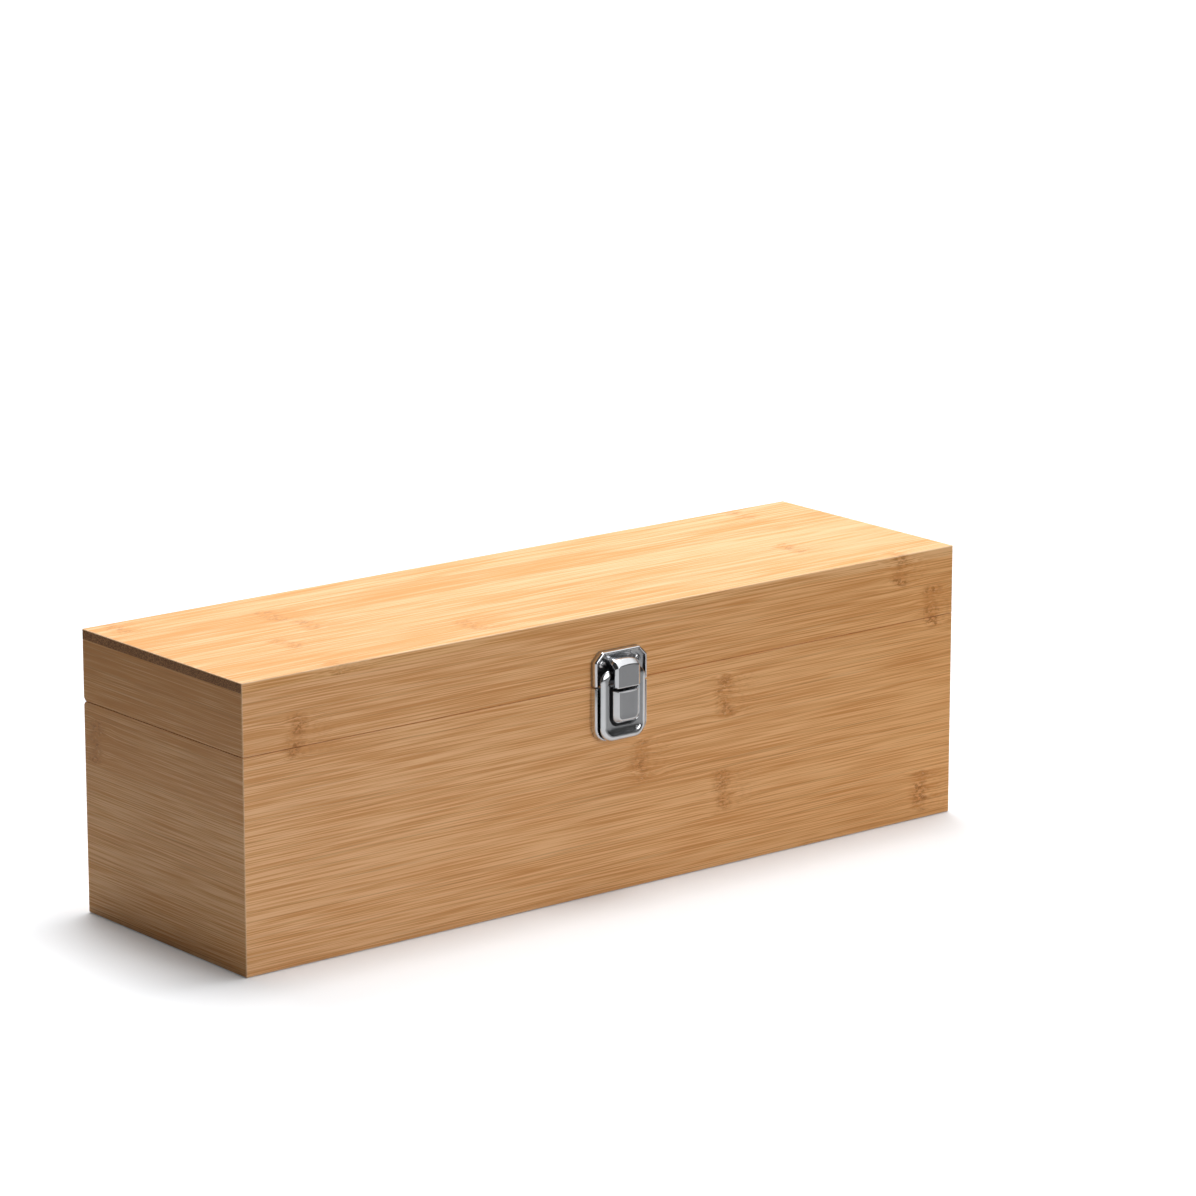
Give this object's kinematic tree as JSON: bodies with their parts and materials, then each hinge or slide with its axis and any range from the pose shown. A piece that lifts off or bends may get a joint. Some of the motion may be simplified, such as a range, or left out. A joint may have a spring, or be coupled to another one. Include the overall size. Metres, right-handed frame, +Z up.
{
  "type": "wine box",
  "caption": "Hinged wooden box with mitred corners, a shallow lid, a sprung rocker latch, foam cradles and a foam accessory tray in the lid.",
  "frame": {"origin": "centre of the flat bottom that the box rests on", "axes": "+X along the length, to the right seen from the latch side; +Y towards the hinges; +Z up"},
  "size_m": [0.36, 0.1156, 0.115],
  "materials": {
    "bamboo": "satin",
    "latch_steel": "satin",
    "hinge_steel": "satin",
    "screw_steel": "satin",
    "foam": "matte",
    "felt": "matte"
  },
  "bodies": {
    "base": {"base_front_board": "bamboo", "base_back_board": "bamboo", "base_left_end": "bamboo", "base_right_end": "bamboo", "base_bottom_panel": "bamboo", "floor_liner": "felt", "body_cradle": "foam", "neck_cradle": "foam", "hinge_leaf_base_left": "hinge_steel", "hinge_leaf_base_right": "hinge_steel", "hinge_pin_left": "hinge_steel", "hinge_pin_right": "hinge_steel", "hinge_screws_base": "screw_steel", "latch_base_plate": "latch_steel", "latch_plate_screws": "screw_steel", "latch_pivot_pin": "screw_steel", "latch_spring": "screw_steel"},
    "lid": {"lid_top_panel": "bamboo", "lid_front_rail": "bamboo", "lid_back_rail": "bamboo", "lid_left_rail": "bamboo", "lid_right_rail": "bamboo", "accessory_tray": "foam", "hinge_leaf_lid_left": "hinge_steel", "hinge_leaf_lid_right": "hinge_steel", "hinge_screws_lid": "screw_steel", "latch_keeper": "latch_steel", "latch_keeper_screws": "screw_steel"},
    "latch_lever": {"latch_lever": "latch_steel"}
  },
  "joints": [
    {"name": "lid_hinge", "type": "hinge", "parent": "base", "child": "lid", "pos_m": [0, 0.0525, 0.08615], "axis": [-1, 0, 0], "range_deg": [0, 98]},
    {"name": "latch_rocker", "type": "hinge", "parent": "base", "child": "latch_lever", "pos_m": [0, -0.0565, 0.079], "axis": [-1, 0, 0], "range_deg": [0, 8], "stiffness_Nm_per_rad": 0.3, "springref_deg": -5.73, "deforming": ["latch_spring"]}
  ]
}
